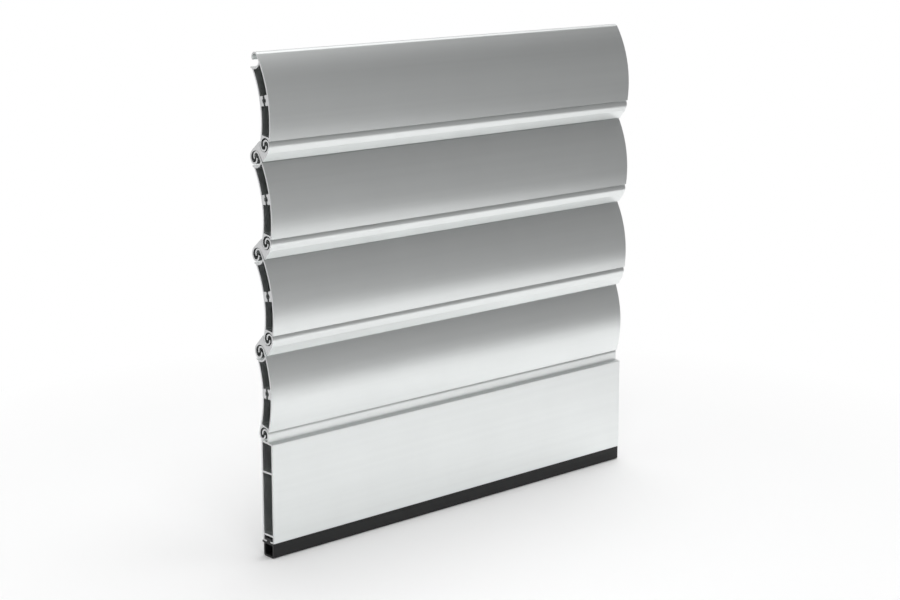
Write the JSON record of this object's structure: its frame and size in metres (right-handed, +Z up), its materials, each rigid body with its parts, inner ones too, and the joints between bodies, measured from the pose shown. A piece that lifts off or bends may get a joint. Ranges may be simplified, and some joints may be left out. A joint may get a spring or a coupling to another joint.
{
  "type": "roller shutter curtain section",
  "caption": "Articulated roller shutter curtain: curved hollow slats joined by short hinge links, over a flat hollow bottom bar with a rubber sill seal.",
  "frame": {"origin": "hinge axis of the top slat's upper hook, halfway along the curtain's width", "axes": "+X along the slats to the right as seen from outside, +Y into the building, +Z up"},
  "size_m": [0.403, 0.0271, 0.4076],
  "materials": {
    "aluminium": "satin mill finish",
    "rubber": "matt black"
  },
  "bodies": {
    "slat_1": {"slat_1": "aluminium"},
    "link_1": {"link_1": "aluminium"},
    "slat_2": {"slat_2": "aluminium"},
    "link_2": {"link_2": "aluminium"},
    "slat_3": {"slat_3": "aluminium"},
    "link_3": {"link_3": "aluminium"},
    "slat_4": {"slat_4": "aluminium"},
    "bottom_bar": {"bottom_bar": "aluminium", "rubber_seal": "rubber"}
  },
  "joints": [
    {"name": "link_1_hinge", "type": "hinge", "parent": "slat_1", "child": "link_1", "pos_m": [0, -0.01255, -0.06642], "axis": [-1, 0, 0], "range_deg": [-5, 40]},
    {"name": "slat_2_hinge", "type": "hinge", "parent": "link_1", "child": "slat_2", "pos_m": [0, 0, -0.07712], "axis": [-1, 0, 0], "range_deg": [-60, 3]},
    {"name": "link_2_hinge", "type": "hinge", "parent": "slat_2", "child": "link_2", "pos_m": [0, -0.01255, -0.14355], "axis": [-1, 0, 0], "range_deg": [-5, 40]},
    {"name": "slat_3_hinge", "type": "hinge", "parent": "link_2", "child": "slat_3", "pos_m": [0, 0, -0.15425], "axis": [-1, 0, 0], "range_deg": [-60, 3]},
    {"name": "link_3_hinge", "type": "hinge", "parent": "slat_3", "child": "link_3", "pos_m": [0, -0.01255, -0.22067], "axis": [-1, 0, 0], "range_deg": [-10, 34]},
    {"name": "slat_4_hinge", "type": "hinge", "parent": "link_3", "child": "slat_4", "pos_m": [0, -0.00117, -0.23261], "axis": [-1, 0, 0], "range_deg": [-45, 17]},
    {"name": "bottom_bar_hinge", "type": "hinge", "parent": "slat_4", "child": "bottom_bar", "pos_m": [0, -0.00412, -0.30014], "axis": [-1, 0, 0], "range_deg": [-30, 25]}
  ]
}
